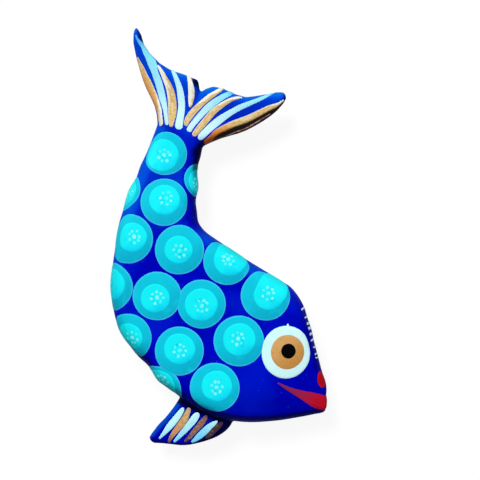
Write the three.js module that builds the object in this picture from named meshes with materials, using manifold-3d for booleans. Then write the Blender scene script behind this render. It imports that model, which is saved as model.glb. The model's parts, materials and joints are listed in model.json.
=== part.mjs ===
// Carved and painted wooden fish, lying on its side on a table.
// Millimetres, +Z up from the table, +Y towards the tail, +X towards the forehead.
// Body, tail fin and ventral fin are whittled separately, then pegged and glued together.
import * as THREE from "three";
import { mergeVertices } from "three/addons/utils/BufferGeometryUtils.js";
import Module from "manifold-3d";

const wasm = await Module();
wasm.setup();

// Body, sawn from a plank and rounded over with a knife.
const bodyThickness = 16;
const stemThickness = 9; // where the tail fin is glued on
const lipThickness = 9;
const edgeRound = 4.5; // how far the rounding reaches in from the outline
const stemTaper = 34; // length over which the tail stem swells to the full thickness
const headTaper = 22; // length over which the head thins towards the lips
const lipBulge = 0.9; // how far the blunt lips stand out from the last cut

// Cuts across the body from the tail stem to the lips: belly point x, y, then back point x, y.
const bodyCuts = [
  [-18.75, 33.15, -4.95, 26.7],
  [-22.05, 24.6, -6.45, 22.2],
  [-26.4, 15.9, -6.3, 15.9],
  [-28.65, 8.7, -7.2, 9.3],
  [-30.75, 1.5, -6.75, 5.1],
  [-32.25, -7.8, -4.65, 1.8],
  [-32.4, -18.3, 0.75, -2.1],
  [-29.7, -28.8, 7.95, -6.9],
  [-22.5, -37.8, 14.55, -10.95],
  [-19.05, -42.6, 18.45, -13.35],
  [-12.15, -48.15, 21.75, -15.6],
  [-3.45, -53.4, 25.05, -20.4],
  [6.15, -55.65, 27.15, -27.3],
  [15.75, -55.5, 29.4, -35.4],
  [23.85, -54.35, 30.9, -41.1],
  [28.95, -53.3, 31.95, -45.6],
  [30.6, -52.65, 32.05, -48.0],
];

// Tail fin: x across the end of the stem, y away from the body.
const tailRimThickness = 4;
const tailLeftEdge = [
  [-9.9, 4.1],
  [-12.7, 6.7],
  [-15.7, 9.1],
  [-19.4, 12.9],
  [-22.9, 17.2],
  [-25.2, 20.8],
];
const tailRim = [
  [-25.8, 23.9],
  [-23.9, 23.2],
  [-21.8, 20.7],
  [-18.5, 18.7],
  [-13.5, 17.0],
  [-8.6, 17.0],
  [-3.6, 17.8],
  [0, 14.8],
  [1.3, 16.7],
  [3.7, 18.3],
  [8.3, 18.4],
  [12.7, 18.9],
  [17.6, 21.9],
  [21.5, 24.9],
  [24.1, 23.7],
];
const tailRightEdge = [
  [11.7, 4.8],
  [16.6, 9.1],
  [20.2, 13.8],
  [22.4, 17.5],
  [23.9, 21.4],
];
const tailFlare = 10; // length over which its foot thins to the rim's thickness
const tailDish = 1.6; // how far the two tips curl up from the middle
const grooveDepth = 1.1; // valley between the two lobes, cut into both faces
const grooveReach = 3.2; // from the middle of the valley to its brink
const grooveStart = 5.5; // from the tail fin's foot
const grooveRun = 7; // length over which the valley reaches its depth

// Ventral fin: x along the belly towards the tail, y away from the body.
const finFromLips = 35.8; // along the belly to the middle of the fin
const finFootLength = 17.5;
const finThickness = 5;
const finRimThickness = 3.4;
const finFlare = 14; // length over which its foot thins to the rim's thickness
const finSeatDepth = 2.4; // how deep its foot is let into the belly
const finFrontEdge = [
  [-8.7, 0.4],
  [-8.1, 2.2],
  [-6.7, 4.5],
];
const finRim = [
  [-4.6, 6.8],
  [-2.2, 9.0],
  [0.7, 11.2],
  [4.2, 12.8],
  [7.7, 14.1],
  [10.2, 14.8],
  [11.4, 13.8],
];
const finBackEdge = [
  [9.0, 2.0],
  [9.8, 5.5],
  [10.5, 9.0],
  [11.1, 11.8],
];

// Both fins have a knife-rounded border.
const finBorder = 1.8; // how far the rounding reaches in

// Pegs, half in the body and half in the fin.
const tailPegDiameter = 2.5;
const tailPegLength = 12;
const tailPegSpacing = 6.8;
const finPegDiameter = 2;
const finPegLength = 10;
const finPegSpacing = 9;
const pegChamfer = 0.3;
const pegClearance = 0.15; // all round a peg in its hole
const glueGap = 0.3; // between two glued faces

// Fineness of the carved surfaces.
const bodyRings = 84;
const roundSteps = 8;
const borderSteps = 5;
const widestBorder = 0.48; // of a fin's width, so that its two rounded borders never meet
const pegSides = 20;

const smooth = (value) => THREE.MathUtils.smoothstep(value, 0, 1);
const curveThrough = (points) =>
  new THREE.CatmullRomCurve3(
    points.map(([x, y]) => new THREE.Vector3(x, y, 0)),
    false,
    "centripetal",
  );

// Height of a rounded border over a distance from its edge, as a share of the full height.
function roundOver(distance, reach) {
  const inward = Math.min(1, Math.max(0, distance / reach));
  return Math.sqrt(1 - (1 - inward) ** 2);
}

// Faces given as corner triples, joined into one closed geometry.
function closedGeometry(corners) {
  const loose = new THREE.BufferGeometry();
  loose.setAttribute("position", new THREE.Float32BufferAttribute(corners.flat(2), 3));
  const joined = mergeVertices(loose, 1e-3);
  const index = joined.index.array;
  const kept = [];
  for (let i = 0; i < index.length; i += 3) {
    const [a, b, c] = index.slice(i, i + 3);
    if (a !== b && b !== c && c !== a) kept.push(a, b, c);
  }
  joined.setIndex(kept);
  return joined;
}

function solidOf(geometry) {
  const bare = geometry.clone();
  bare.deleteAttribute("normal");
  bare.deleteAttribute("uv");
  const joined = mergeVertices(bare, 1e-4);
  return new wasm.Manifold(
    new wasm.Mesh({
      numProp: 3,
      vertProperties: joined.attributes.position.array,
      triVerts: new Uint32Array(joined.index.array),
    }),
  );
}

function geometryOf(solid) {
  const mesh = solid.getMesh();
  const geometry = new THREE.BufferGeometry();
  geometry.setAttribute("position", new THREE.BufferAttribute(mesh.vertProperties, 3));
  geometry.setIndex(new THREE.BufferAttribute(mesh.triVerts, 1));
  return geometry;
}

// A section across a rounded board: [across, height] pairs, anticlockwise from its lower right shoulder.
function boardSection(halfWidth, halfThickness, reach) {
  const inset = Math.min(reach, halfWidth);
  const section = [];
  for (const side of [1, -1]) {
    for (let step = 0; step <= roundSteps; step++) {
      const angle = Math.PI * (step / roundSteps - 0.5);
      const across = halfWidth - inset * (1 - Math.cos(angle));
      section.push([side * across, side * halfThickness * Math.sin(angle)]);
    }
  }
  return section;
}

// Skin over a row of rings with as many points each, closed at both ends.
function loft(rings) {
  const corners = [];
  const count = rings[0].length;
  for (let ring = 0; ring < rings.length - 1; ring++) {
    for (let i = 0; i < count; i++) {
      const next = (i + 1) % count;
      const [a, b] = [rings[ring][i], rings[ring][next]];
      const [c, d] = [rings[ring + 1][next], rings[ring + 1][i]];
      corners.push([a, b, c], [a, c, d]);
    }
  }
  for (const [ring, facesBack] of [[rings[0], true], [rings.at(-1), false]]) {
    const centre = [0, 1, 2].map((k) => ring.reduce((sum, p) => sum + p[k], 0) / count);
    for (let i = 0; i < count; i++) {
      const [a, b] = [ring[i], ring[(i + 1) % count]];
      corners.push(facesBack ? [centre, b, a] : [centre, a, b]);
    }
  }
  return closedGeometry(corners);
}

const bellyLine = curveThrough(bodyCuts.map(([x, y]) => [x, y]));
const backLine = curveThrough(bodyCuts.map(([, , x, y]) => [x, y]));

// Where the tail fin is glued on: the middle of the stem's end, and the direction across it.
function stemEnd() {
  const belly = bellyLine.getPoint(0);
  const back = backLine.getPoint(0);
  const across = back.clone().sub(belly);
  return {
    middle: belly.add(back).multiplyScalar(0.5),
    halfWidth: across.length() / 2,
    turn: Math.atan2(across.y, across.x),
  };
}

// Where the ventral fin stands: a point of the belly line, and the direction back along it.
function finStand() {
  const along = 1 - finFromLips / bellyLine.getLength();
  const tailward = bellyLine.getTangentAt(along).negate();
  return { crest: bellyLine.getPointAt(along), turn: Math.atan2(tailward.y, tailward.x) };
}

// The body's rings, from the stem's end to the lips, before its seats and holes are cut.
function bodyShape() {
  const cuts = [];
  for (let ring = 0; ring <= bodyRings; ring++) {
    const belly = bellyLine.getPoint(ring / bodyRings);
    const back = backLine.getPoint(ring / bodyRings);
    const across = back.clone().sub(belly);
    const middle = belly.add(back).multiplyScalar(0.5);
    const before = cuts.at(-1);
    const travelled = before ? before.travelled + middle.distanceTo(before.middle) : 0;
    cuts.push({ middle, halfWidth: across.length() / 2, across: across.normalize(), travelled });
  }
  const length = cuts.at(-1).travelled;
  const ringOf = ({ middle, halfWidth, across, travelled }, share = 1, forward = 0) => {
    const fromStem = THREE.MathUtils.lerp(stemThickness, bodyThickness, smooth(travelled / stemTaper));
    const toLips = (bodyThickness - lipThickness) * smooth(1 - (length - travelled) / headTaper);
    const centre = middle.clone().add(new THREE.Vector3(across.y, -across.x, 0).multiplyScalar(forward));
    return boardSection(halfWidth * share, ((fromStem - toLips) / 2) * share, edgeRound * share).map(
      ([x, z]) => [centre.x + across.x * x, centre.y + across.y * x, z],
    );
  };
  const rings = cuts.map((cut) => ringOf(cut));
  for (const degrees of [25, 50, 72]) {
    const angle = THREE.MathUtils.degToRad(degrees);
    rings.push(ringOf(cuts.at(-1), Math.cos(angle), lipBulge * Math.sin(angle)));
  }
  return loft(rings);
}

// The flat sheet between a fin's foot, side edges and rim: a point for each place across (0 to 1)
// and along (0 to 1), blended from the four lines.
function sheetBetween({ foot, leftEdge, rim, rightEdge }) {
  const rimLine = curveThrough(rim);
  const leftLine = curveThrough([foot[0], ...leftEdge, rim[0]]);
  const rightLine = curveThrough([foot[1], ...rightEdge, rim.at(-1)]);
  const footLine = new THREE.LineCurve3(leftLine.getPoint(0), rightLine.getPoint(0));
  return (across, along) => {
    const point = new THREE.Vector3();
    point.addScaledVector(footLine.getPoint(across), 1 - along);
    point.addScaledVector(rimLine.getPoint(across), along);
    point.addScaledVector(leftLine.getPointAt(along), 1 - across);
    point.addScaledVector(rightLine.getPointAt(along), across);
    point.addScaledVector(footLine.getPoint(0), -(1 - across) * (1 - along));
    point.addScaledVector(footLine.getPoint(1), -across * (1 - along));
    point.addScaledVector(rimLine.getPoint(0), -(1 - across) * along);
    point.addScaledVector(rimLine.getPoint(1), -across * along);
    return point;
  };
}

// Places from 0 to 1 for a fin's grid lines, close together inside the rounded borders at its ends.
function gridPlaces(plainSteps, lowBorder, highBorder) {
  const border = (step, width) => width * (1 - Math.cos((Math.PI / 2) * (step / borderSteps)));
  const places = [];
  for (let step = 0; lowBorder > 0 && step < borderSteps; step++) places.push(border(step, lowBorder));
  for (let step = 0; step <= plainSteps; step++) {
    places.push(lowBorder + (1 - lowBorder - highBorder) * (step / plainSteps));
  }
  for (let step = borderSteps - 1; step >= 0; step--) places.push(1 - border(step, highBorder));
  return places;
}

// A fin carved from the sheet between its outlines. halfThicknessAt and liftAt are given a place:
// across and along the sheet, its point, and its distance from the foot. The rounded side borders
// reach in by footReach at the foot and by finBorder from flare onwards.
function carveFin({ outline, footReach, flare, halfThicknessAt, liftAt, columns, rows }) {
  const sheet = sheetBetween(outline);
  const columnCount = columns + 1 + 2 * borderSteps;
  const rowCount = rows + 1 + borderSteps;
  const top = [];
  const bottom = [];
  for (let column = 0; column < columnCount; column++) {
    top.push([]);
    bottom.push([]);
    const middleLine = column / (columnCount - 1);
    const length = sheet(middleLine, 1).distanceTo(sheet(middleLine, 0));
    const alongPlaces = gridPlaces(rows, 0, finBorder / length);
    for (let row = 0; row < rowCount; row++) {
      const along = alongPlaces[row];
      const fromFoot = along * length;
      const width = sheet(1, along).distanceTo(sheet(0, along));
      const reach = THREE.MathUtils.lerp(footReach, finBorder, smooth(fromFoot / flare));
      const sideBorder = Math.min(widestBorder, reach / width);
      const across = gridPlaces(columns, sideBorder, sideBorder)[column];
      const place = { across, along, fromFoot, point: sheet(across, along) };
      const sideRounding = roundOver(Math.min(across, 1 - across), sideBorder);
      const height = halfThicknessAt(place) * sideRounding * roundOver(length - fromFoot, finBorder);
      const lift = liftAt(place);
      top[column].push([place.point.x, place.point.y, lift + height]);
      bottom[column].push([place.point.x, place.point.y, lift - height]);
    }
  }
  const corners = [];
  for (let i = 0; i < columnCount - 1; i++) {
    for (let j = 0; j < rowCount - 1; j++) {
      const [a, b, c, d] = [top[i][j], top[i + 1][j], top[i + 1][j + 1], top[i][j + 1]];
      const [e, f, g, h] = [bottom[i][j], bottom[i + 1][j], bottom[i + 1][j + 1], bottom[i][j + 1]];
      corners.push([a, b, c], [a, c, d], [e, g, f], [e, h, g]);
    }
    corners.push([bottom[i][0], bottom[i + 1][0], top[i + 1][0]]);
    corners.push([bottom[i][0], top[i + 1][0], top[i][0]]);
  }
  return closedGeometry(corners);
}

function tailFinShape(halfWidth) {
  return carveFin({
    outline: {
      foot: [[-halfWidth, glueGap], [halfWidth, glueGap]],
      leftEdge: tailLeftEdge,
      rim: tailRim,
      rightEdge: tailRightEdge,
    },
    footReach: Math.min(edgeRound, halfWidth),
    flare: tailFlare,
    halfThicknessAt: ({ fromFoot, point }) => {
      const plain = THREE.MathUtils.lerp(stemThickness, tailRimThickness, smooth(fromFoot / tailFlare)) / 2;
      const nearValley = Math.max(0, 1 - Math.abs(point.x) / grooveReach);
      return plain - grooveDepth * nearValley * smooth((point.y - grooveStart) / grooveRun);
    },
    liftAt: ({ across, along }) => tailDish * (2 * across - 1) ** 2 * along ** 2,
    columns: 16,
    rows: 10,
  });
}

function ventralFinShape() {
  const footLevel = glueGap - finSeatDepth;
  return carveFin({
    outline: {
      foot: [[-finFootLength / 2, footLevel], [finFootLength / 2, footLevel]],
      leftEdge: finFrontEdge,
      rim: finRim,
      rightEdge: finBackEdge,
    },
    footReach: finBorder,
    flare: finFlare,
    halfThicknessAt: ({ fromFoot }) =>
      THREE.MathUtils.lerp(finThickness, finRimThickness, smooth(fromFoot / finFlare)) / 2,
    liftAt: () => 0,
    columns: 8,
    rows: 8,
  });
}

// The recess in the belly that takes the ventral fin's foot, a little larger all round.
function finSeat() {
  const levels = [finSeatDepth, -finSeatDepth];
  const section = boardSection(finFootLength / 2 + glueGap, finThickness / 2 + glueGap, finBorder);
  return loft(levels.map((level) => section.map(([x, z]) => [x, level, z])));
}

// A round peg or the hole for it, standing along Y.
function dowel(diameter, length) {
  const radius = diameter / 2;
  const profile = [
    [0, -length / 2],
    [radius - pegChamfer, -length / 2],
    [radius, pegChamfer - length / 2],
    [radius, length / 2 - pegChamfer],
    [radius - pegChamfer, length / 2],
    [0, length / 2],
  ];
  return new THREE.LatheGeometry(profile.map((point) => new THREE.Vector2(...point)), pegSides);
}

const wood = (color, roughness) => new THREE.MeshStandardMaterial({ color, roughness, metalness: 0 });
const paintedBlue = wood(0x0712c4, 0.45);
const paintedTail = wood(0x2f6fd0, 0.45);
const paintedFin = wood(0x2b57c8, 0.45);
const bareWood = wood(0xd9b98a, 0.8);

function piece(name, geometry, material) {
  const flat = geometry.index ? geometry.toNonIndexed() : geometry;
  flat.computeVertexNormals();
  const mesh = new THREE.Mesh(flat, material);
  mesh.name = name;
  return mesh;
}

const fish = new THREE.Group();
fish.position.z = bodyThickness / 2;

const bodyCutters = [];

// Adds a fin and its two pegs to the fish, and keeps what the body must be cut with to take them.
function addFin({ name, pegName, material, shape, seat, place, turn, pegLevel, peg }) {
  const group = new THREE.Group();
  group.position.copy(place);
  group.rotation.z = turn;
  group.updateMatrix();
  const cutBody = (geometry) => bodyCutters.push(solidOf(geometry.clone().applyMatrix4(group.matrix)));
  let fin = solidOf(shape);
  for (const [number, side] of [[1, -1], [2, 1]]) {
    const spot = [(side * peg.spacing) / 2, pegLevel, 0];
    const hole = dowel(peg.diameter + 2 * pegClearance, peg.length + 2 * glueGap).translate(...spot);
    fin = fin.subtract(solidOf(hole));
    cutBody(hole);
    const pegMesh = piece(`${pegName}_${number}`, dowel(peg.diameter, peg.length), bareWood);
    pegMesh.position.set(...spot);
    group.add(pegMesh);
  }
  if (seat) cutBody(seat);
  group.add(piece(name, geometryOf(fin), material));
  fish.add(group);
}

const stem = stemEnd();
addFin({
  name: "tail_fin",
  pegName: "tail_peg",
  material: paintedTail,
  shape: tailFinShape(stem.halfWidth),
  place: stem.middle,
  turn: stem.turn,
  pegLevel: glueGap / 2,
  peg: { diameter: tailPegDiameter, length: tailPegLength, spacing: tailPegSpacing },
});

const stand = finStand();
addFin({
  name: "ventral_fin",
  pegName: "fin_peg",
  material: paintedFin,
  shape: ventralFinShape(),
  seat: finSeat(),
  place: stand.crest,
  turn: stand.turn,
  pegLevel: glueGap / 2 - finSeatDepth,
  peg: { diameter: finPegDiameter, length: finPegLength, spacing: finPegSpacing },
});

const bodySolid = bodyCutters.reduce((solid, cutter) => solid.subtract(cutter), solidOf(bodyShape()));
fish.add(piece("body", geometryOf(bodySolid), paintedBlue));

export default fish;
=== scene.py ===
"""A carved wooden fish, lying on its side and painted by hand on both faces.

Lengths are in metres. X and Y lie along the table, +Y runs from the head to the tail, +Z points up.
Paint is modelled flat, as spots and strokes with a real thickness, and then laid over the carved wood.
"""

import json
import math
import random

import bpy
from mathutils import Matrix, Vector
from mathutils.bvhtree import BVHTree

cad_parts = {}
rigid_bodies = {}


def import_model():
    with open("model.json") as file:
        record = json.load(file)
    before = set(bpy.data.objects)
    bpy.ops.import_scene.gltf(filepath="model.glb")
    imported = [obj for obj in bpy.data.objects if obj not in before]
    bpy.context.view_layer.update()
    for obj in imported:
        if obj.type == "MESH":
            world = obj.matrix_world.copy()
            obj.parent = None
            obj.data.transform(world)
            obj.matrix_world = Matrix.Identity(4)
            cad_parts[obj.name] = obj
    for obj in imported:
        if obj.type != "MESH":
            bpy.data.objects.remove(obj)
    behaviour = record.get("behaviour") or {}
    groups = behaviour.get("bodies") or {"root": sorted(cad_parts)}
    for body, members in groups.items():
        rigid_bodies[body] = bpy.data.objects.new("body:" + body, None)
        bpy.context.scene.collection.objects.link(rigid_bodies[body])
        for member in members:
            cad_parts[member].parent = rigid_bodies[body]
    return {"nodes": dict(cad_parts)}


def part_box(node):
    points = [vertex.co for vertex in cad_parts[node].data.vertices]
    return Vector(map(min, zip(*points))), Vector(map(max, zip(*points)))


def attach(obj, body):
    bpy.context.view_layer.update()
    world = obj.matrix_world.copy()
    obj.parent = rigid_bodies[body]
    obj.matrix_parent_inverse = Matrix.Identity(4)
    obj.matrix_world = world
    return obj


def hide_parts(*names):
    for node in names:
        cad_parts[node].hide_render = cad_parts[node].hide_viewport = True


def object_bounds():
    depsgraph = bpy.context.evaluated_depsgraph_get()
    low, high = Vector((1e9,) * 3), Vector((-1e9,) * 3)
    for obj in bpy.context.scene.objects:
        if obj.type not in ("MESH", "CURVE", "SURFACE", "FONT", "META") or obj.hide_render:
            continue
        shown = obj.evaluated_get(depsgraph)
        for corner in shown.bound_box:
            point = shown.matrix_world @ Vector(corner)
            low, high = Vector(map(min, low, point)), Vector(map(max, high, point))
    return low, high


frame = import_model()
cad_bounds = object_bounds()
chance = random.Random(11)

MM = 0.001

# The wood
MIDDLE_HEIGHT = (cad_bounds[0].z + cad_bounds[1].z) / 2
SANDED_SHARE = 0.968
SKIN_GRAIN = 0.42 * MM
SKIN_SMOOTHING = 4
KNIFE_WAVE = 11 * MM
KNIFE_DEPTH = 0.16 * MM
FIN_SEAT_DEPTH = 2.4 * MM
WELD_REACH = 0.001 * MM
CUT_REACH = 0.0001 * MM
WOOD_CREASE = math.radians(50)
PAINT_CREASE = math.radians(40)

# The paint, as it is modelled flat
PAINT_THICKNESS = 0.10 * MM
STROKE_THICKNESS = 0.06 * MM
LAYER_RISE = 0.075 * MM
# Scales that touch lie this much above one another
SCALE_RISE = 0.008 * MM
SPOT_SIDES = 64
# How far in each ring of a spot lies from the one outside it
SPOT_INSETS = (0.04, 0.06, 0.18, 0.18, 0.18, 0.18)
# Past each share of a spot's radius its top is only so high
SPOT_EDGE = [(0.99, 0.3), (0.94, 0.85)]
RING_UNEVENNESS = 0.012
HEART_UNEVENNESS = 0.02
HEART_FLARE = 0.3
NOSTRIL_UNEVENNESS = 0.03
DOT_SIDES = 12
DOT_LAYERS = 7
DOT_RADIUS = 0.42 * MM
DOT_RADIUS_RANGE = (0.8, 1.15)
DOT_STRETCH = 1.3
DOT_HEIGHT_SHARE = 0.12
MIDDLE_DOT_RADIUS = 0.54 * MM
DOTS_AROUND = 7
DOT_RING = 1.72 * MM
DOT_RING_RANGE = (0.88, 1.12)
DOT_STRAY = 0.2
PALE_STROKE_RISE = 0.02 * MM
RIM_STROKE_RISE = 0.03 * MM
STROKE_COLUMNS = 8
STROKE_UNEVENNESS = 0.05
STROKE_WAVES = 5
# How far the edges of a stroke sink, and how suddenly its edges and its ends do
EDGE_SINK = 1.5
EDGE_POWER = 4
END_POWER = 12
NARROWEST_END = 0.01
THINNEST_STROKE = 0.2
ROWS_PER_MM = 2
FEWEST_ROWS = 16
MOUTH_ROWS_PER_MM = 2.5
DAB_ROWS = 18
DAB_SLANT = 0.08

# How it is laid over the wood
PAINT_STRIDE = 0.5 * MM
ROOT_REACH = 9 * MM
EDGE_HALVINGS = 12
AHEAD_OF_SNOUT = 60 * MM

# Painted light and shade in the blue. A shade has a start, a place where it is full, and its strength there.
# Painted highlight: lighter where the wood faces one way, and up the stem and the tail, by the height y in
# mm.
LIT_WAY = Vector((-0.42, 0.88, 0.22))
LIT_FACING = (0.1, 0.8, 0.85)
LIT_STEM = (-4, 14, 0.12)
LIT_TAIL = (30, 46, 0.4)
# Painted shade: darker where it faces away, along the back, more so up the stem, and on the underside and the
# chin.
DARK_WAY = Vector((0.94, -0.33, 0.0))
DARK_FACING = (0.3, 0.85)
DARK_BACK = 0.45
DARK_STEM = (14, 21, 0.5)
DARK_UNDERSIDE = (0.15, 0.75, 0.66)
DARK_CHIN = (-38, -50, 0.27)
# Painted shade in patches: x, y and radius, in mm.
DARK_PATCHES = [(-6.6, 46.3, 2.8), (-22.9, 59.6, 1.8), (-5.4, 24.6, 4.2)]
PATCH_STRENGTH = 0.95
PATCH_CORE = 0.3
# Painted shadow and shade on both sides of the ventral fin's joint, by the distance in mm, and towards the
# fin's front.
BELLY_SHADE = (-2.4, -0.9)
BELLY_SHADE_REACH = 14
FIN_FOOT_SHADE = (1.6, -0.2)
FIN_FRONT_SHADE = (-2, 7, 0.9)
FIN_FRONT_SLANT = 0.35
FIN_DARK = 0.36
FIN_LIT = (0.1, 0.5)

# The way out over the edge of the back
BACK_WAY = Vector((0.51, 0.86))

# Where the fish is looked at from: every place below is where it is seen from there
VIEW_MIDDLE = Vector((6.15 * MM, -1.2 * MM, MIDDLE_HEIGHT))
VIEW_HEIGHT = 400 * MM

# The middle line of the body, from the stem to the head, in mm
SPINE = [(-12, 29), (-16.5, 12), (-19, -4), (-15, -20), (-2, -33), (14, -39), (24, -46)]

# Scales: ring x, y and radius, then heart x, y and radius, then the middle of the dots, then how far the
# ring is drawn out over the back, in mm. A place past the edge is measured round it.
SCALES = [
    (-16.3, 24.75, 6.55, -17.1, 24.2, 5.0, -16.6, 24.2, 0),
    (-16.6, 10.15, 7.15, -16.5, 10.85, 4.7, -15.9, 11.3, 0),
    (-27.4, -0.8, 7.45, -26.2, -0.4, 4.5, -25.6, -0.2, 0),
    (-12.0, -4.1, 7.4, -12.3, -4.15, 4.3, -12.0, -4.5, 0),
    (2.25, -7.5, 7.15, 3.1, -7.2, 4.9, 2.65, -6.9, 0.6),
    (13.8, -17.95, 7.4, 14.8, -17.8, 4.6, 14.7, -17.2, 1.8),
    (-18.75, -18.0, 7.3, -19.3, -18.7, 4.4, -18.7, -18.5, 0),
    (-5.4, -20.4, 7.3, -5.5, -20.6, 5.0, -5.25, -21.0, 0),
    (-27.6, -30.5, 7.2, -27.4, -30.6, 4.4, -26.3, -30.6, 0),
    (-12.05, -34.5, 7.35, -12.0, -33.9, 4.75, -11.9, -34.4, 0),
    (5.8, -31.5, 7.6, 5.95, -31.05, 5.0, 5.6, -30.8, 0),
    (-1.45, -45.5, 7.45, -0.8, -45.0, 4.7, -0.9, -45.5, 0),
]
# Scales on the narrow sides, which both faces share
EDGE_SCALES = [
    (-5.6, 17.15, 5.0, -5.6, 16.8, 3.7, -5.7, 16.2, 0),
    (-29.5, 14.2, 5.7, -29.5, 14.2, 4.3, -28.6, 14.0, 0),
    (-33.3, -15.3, 7.3, -33.2, -14.6, 4.9, -37.0, -15.0, 0),
    (-18.5, -46.1, 6.9, -18.5, -45.5, 5.1, -17.4, -43.9, 0),
]

# The eye, from the lowest layer up: x, y, half the width and half the height, in mm, and how uneven it is
EYE = [
    ("eye_whites", 20.05, -34.9, 7.43, 8.0, 0.012),
    ("eye_irises", 20.42, -34.83, 5.2, 5.35, 0.012),
    ("eye_pupils", 20.65, -34.5, 2.25, 2.35, 0.015),
]
EYE_ROOT = (20.05, -34.9)
# The nostril: x, y, half the width and half the height, in mm
NOSTRIL = (31.5, -43.4, 1.9, 2.5)

# Where the knife left more of the edge or took more: x, y, how far the edge lies out each way,
# and how far around, in mm
KNIFE_MARKS = [
    (-20.2, -59.3, -0.5, 0.15, 5.5), (-6.6, 46.4, 0.45, 0.1, 2.8), (19.6, 43.2, 0.35, 0.45, 3.2),
    (-13.5, -47.7, 0.35, 0.15, 3.2), (-16.0, -45.8, 0.2, 0.15, 3.5), (-20.8, -40.6, 0.35, 0.2, 4.0),
    (-24.6, -36.0, -0.3, -0.2, 4.0), (-31.5, -5.0, 0.35, 0.0, 11.0), (-25.8, 17.5, 0.6, -0.15, 5.0),
    (-6.2, 17.9, -0.4, 0.0, 3.5), (-6.0, 23.3, 0.45, 0.0, 3.5), (-6.8, 7.0, 0.45, 0.0, 4.0),
    (31.7, -44.0, 0.3, 0.05, 4.5), (27.4, -28.0, 0.25, 0.1, 4.0), (-16.0, -62.0, 0.0, 0.25, 5.5),
    (-18.2, -56.0, -0.3, 0.15, 3.5), (15.8, 43.1, 0.0, -0.4, 3.2), (32.7, -49.3, -0.3, 0.0, 3.0),
    (31.0, -52.9, 0.2, -0.3, 3.0),
]

# Strokes: x, y and width along each, in mm
MOUTH = [(17.25, -43.8, 0.2), (19.35, -45.05, 0.85), (21.55, -46.2, 1.4), (24.65, -47.6, 2.5),
         (27.3, -48.75, 3.7), (29.6, -49.75, 4.4), (32.5, -50.6, 4.6), (35.5, -50.8, 4.6), (38.5, -50.8, 4.6)]
# The place in the cheek from which the mouth is laid
MOUTH_ROOT = (23.5, -49.3)
TAIL_PALE = [
    [(-25.1, 60.3, 0.3), (-24.5, 58.8, 0.7), (-23.0, 57.0, 1.6), (-22.0, 55.2, 2.1), (-20.75, 53.4, 2.7),
     (-20.1, 51.6, 2.7), (-19.6, 49.8, 2.05), (-19.0, 48.0, 1.95), (-18.35, 46.2, 2.05), (-17.85, 44.4, 2.0),
     (-17.4, 42.6, 2.0), (-16.95, 40.8, 1.9), (-16.5, 39.0, 1.55), (-16.2, 37.2, 1.2), (-16.0, 35.4, 1.0),
     (-15.75, 33.3, 0.9)],
    [(-14.1, 49.8, 1.1), (-13.3, 48.0, 1.2), (-12.6, 46.2, 1.45), (-12.05, 44.4, 1.7), (-11.7, 42.6, 1.95),
     (-11.45, 40.8, 2.0), (-11.35, 39.0, 1.95), (-11.5, 37.2, 2.0), (-11.8, 35.4, 2.05), (-12.15, 33.6, 2.2),
     (-12.2, 32.0, 2.1)],
    [(3.9, 43.15, 1.3), (2.65, 42.55, 1.55), (0.8, 41.6, 1.65), (-1.3, 40.25, 1.85), (-3.4, 38.65, 1.95),
     (-5.25, 36.75, 1.75), (-7.0, 34.7, 1.65), (-8.45, 32.9, 1.55), (-9.35, 31.4, 1.6)],
    [(16.2, 42.75, 0.5), (15.4, 42.5, 0.8), (13.85, 41.9, 1.1), (11.95, 41.0, 1.15), (9.3, 39.9, 1.3),
     (6.5, 38.75, 1.55), (4.35, 37.6, 1.65), (2.25, 36.35, 1.85), (-0.05, 34.75, 2.15), (-2.4, 32.8, 2.2),
     (-4.5, 30.85, 2.05), (-6.2, 29.0, 1.8)],
]
TAIL_GOLD = [
    [(-17.5, 33.1, 1.9), (-17.9, 35.4, 2.2), (-18.4, 38.0, 2.2), (-19.2, 40.4, 2.3), (-20.3, 43.0, 2.4),
     (-21.5, 45.6, 2.4), (-22.6, 48.0, 2.15), (-23.4, 50.1, 1.8), (-24.1, 51.9, 1.2), (-24.6, 53.6, 0.5)],
    [(-18.5, 51.2, 0.5), (-17.4, 49.4, 1.05), (-16.4, 47.3, 1.45), (-15.45, 45.4, 1.8), (-14.8, 43.6, 2.15),
     (-14.35, 41.6, 2.4), (-14.15, 39.2, 2.45), (-14.2, 36.6, 2.3), (-14.45, 34.4, 1.65),
     (-14.55, 32.8, 1.0)],
    [(-9.35, 48.1, 1.1), (-8.85, 46.3, 1.3), (-8.45, 43.95, 1.85), (-8.5, 41.6, 1.8), (-8.7, 39.65, 1.15),
     (-8.85, 38.7, 0.5)],
    [(1.3, 44.6, 0.9), (0.15, 43.85, 1.2), (-1.4, 42.8, 1.45), (-3.4, 41.45, 1.7), (-5.8, 39.35, 1.75),
     (-7.45, 37.7, 1.85), (-8.9, 36.0, 1.85), (-9.85, 34.35, 1.5), (-10.1, 33.1, 1.1)],
    [(6.7, 41.5, 0.4), (5.6, 41.5, 0.8), (3.7, 41.0, 1.1), (1.8, 39.95, 1.4), (-0.1, 38.7, 1.6),
     (-1.95, 37.2, 1.8), (-3.65, 35.2, 1.85), (-5.35, 33.2, 1.8), (-6.8, 31.4, 1.6), (-7.9, 30.1, 1.2)],
    [(19.35, 40.7, 0.7), (17.35, 38.7, 2.6), (14.6, 37.05, 3.85), (8.95, 34.0, 4.6), (4.05, 32.1, 4.7),
     (0.35, 30.6, 4.1), (-2.05, 29.2, 3.4), (-4.6, 27.9, 2.2)],
]
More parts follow.
